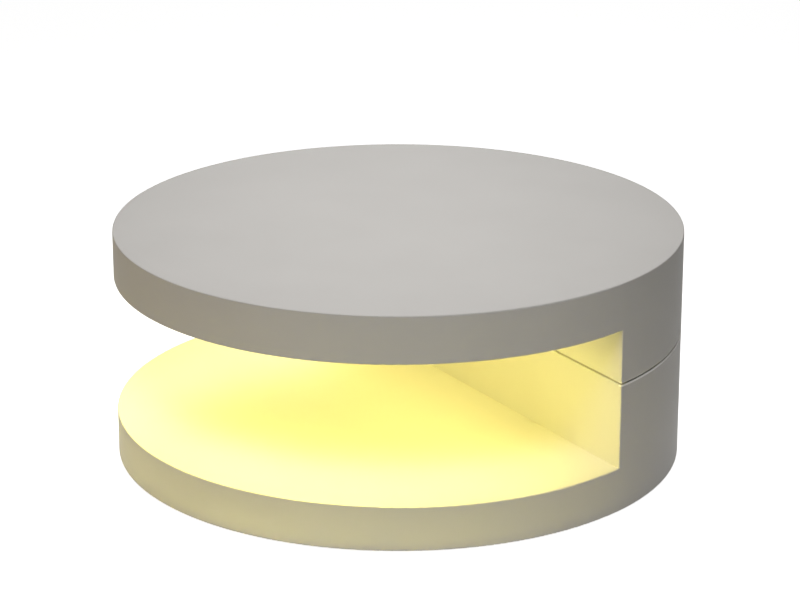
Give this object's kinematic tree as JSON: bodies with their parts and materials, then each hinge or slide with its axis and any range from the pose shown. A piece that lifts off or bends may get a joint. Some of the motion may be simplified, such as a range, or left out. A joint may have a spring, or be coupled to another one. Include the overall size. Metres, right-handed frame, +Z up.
{
  "type": "swivel coffee table",
  "caption": "Round two-tier coffee table: a disc top on a D-shaped block turns freely on a like base, and a hidden strip lights the open shelf.",
  "frame": {"origin": "on the floor, under the centre of the round base", "axes": "+Z up along the turning axis; the open side of the shelf faces -Y and the blocks stand towards +Y"},
  "size_m": [0.8, 0.8, 0.3305],
  "materials": {
    "painted_board": "satin",
    "sealed_board": "matte",
    "raw_board": "matte",
    "softwood": "matte",
    "zinc_steel": "satin",
    "ring_aluminium": "satin",
    "ball_steel": "polished",
    "cage_nylon": "matte",
    "channel_aluminium": "satin",
    "cap_plastic": "matte",
    "light_diffuser": "satin",
    "led_chip": "satin",
    "circuit_board": "satin",
    "black_plastic": "matte",
    "glide_nylon": "satin",
    "lead_sheath": "matte"
  },
  "bodies": {
    "base": {"base_rim": "painted_board", "shelf_panel": "painted_board", "base_bottom_panel": "sealed_board", "base_rib_front": "raw_board", "base_rib_middle": "raw_board", "base_rib_chord": "raw_board", "base_rib_back": "raw_board", "base_cross_ribs": "raw_board", "lower_block_front": "painted_board", "lower_block_wall": "painted_board", "lower_block_braces": "raw_board", "lower_glue_blocks": "softwood", "lower_bearing_panel": "raw_board", "lower_joint_screws": "zinc_steel", "service_cover": "black_plastic", "service_cover_screws": "zinc_steel", "base_glides": "glide_nylon", "glide_screws": "zinc_steel", "turntable_inner_ring": "ring_aluminium", "inner_ring_screws": "zinc_steel"},
    "swivel_top": {"top_panel": "painted_board", "top_rim": "painted_board", "top_underside_panel": "painted_board", "top_rib_front": "raw_board", "top_rib_middle": "raw_board", "top_rib_chord": "raw_board", "top_rib_back": "raw_board", "top_cross_ribs": "raw_board", "upper_block_front": "painted_board", "upper_block_wall": "painted_board", "upper_block_braces": "raw_board", "upper_glue_blocks": "softwood", "upper_bearing_panel": "raw_board", "upper_joint_screws": "zinc_steel", "turntable_outer_ring": "ring_aluminium", "outer_ring_screws": "zinc_steel", "led_channel": "channel_aluminium", "led_end_caps": "cap_plastic", "led_strip": "circuit_board", "led_chips": "led_chip", "led_diffuser": "light_diffuser", "led_controller": "black_plastic", "controller_screws": "zinc_steel", "power_inlet": "black_plastic", "power_inlet_nut": "black_plastic", "led_lead": "lead_sheath", "inlet_lead": "lead_sheath"},
    "ball_set": {"turntable_balls": "ball_steel", "turntable_ball_cage": "cage_nylon"}
  },
  "joints": [
    {"name": "top_swivel", "type": "hinge", "parent": "base", "child": "swivel_top", "pos_m": [0, 0.2565, 0.18725], "axis": [0, 0, 1], "continuous": true},
    {"name": "ball_set_turn", "type": "hinge", "parent": "base", "child": "ball_set", "pos_m": [0, 0.2565, 0.18725], "axis": [0, 0, 1], "continuous": true}
  ],
  "couplings": [
    {"joint": "ball_set_turn", "follows": "top_swivel", "ratio": 0.51375}
  ]
}
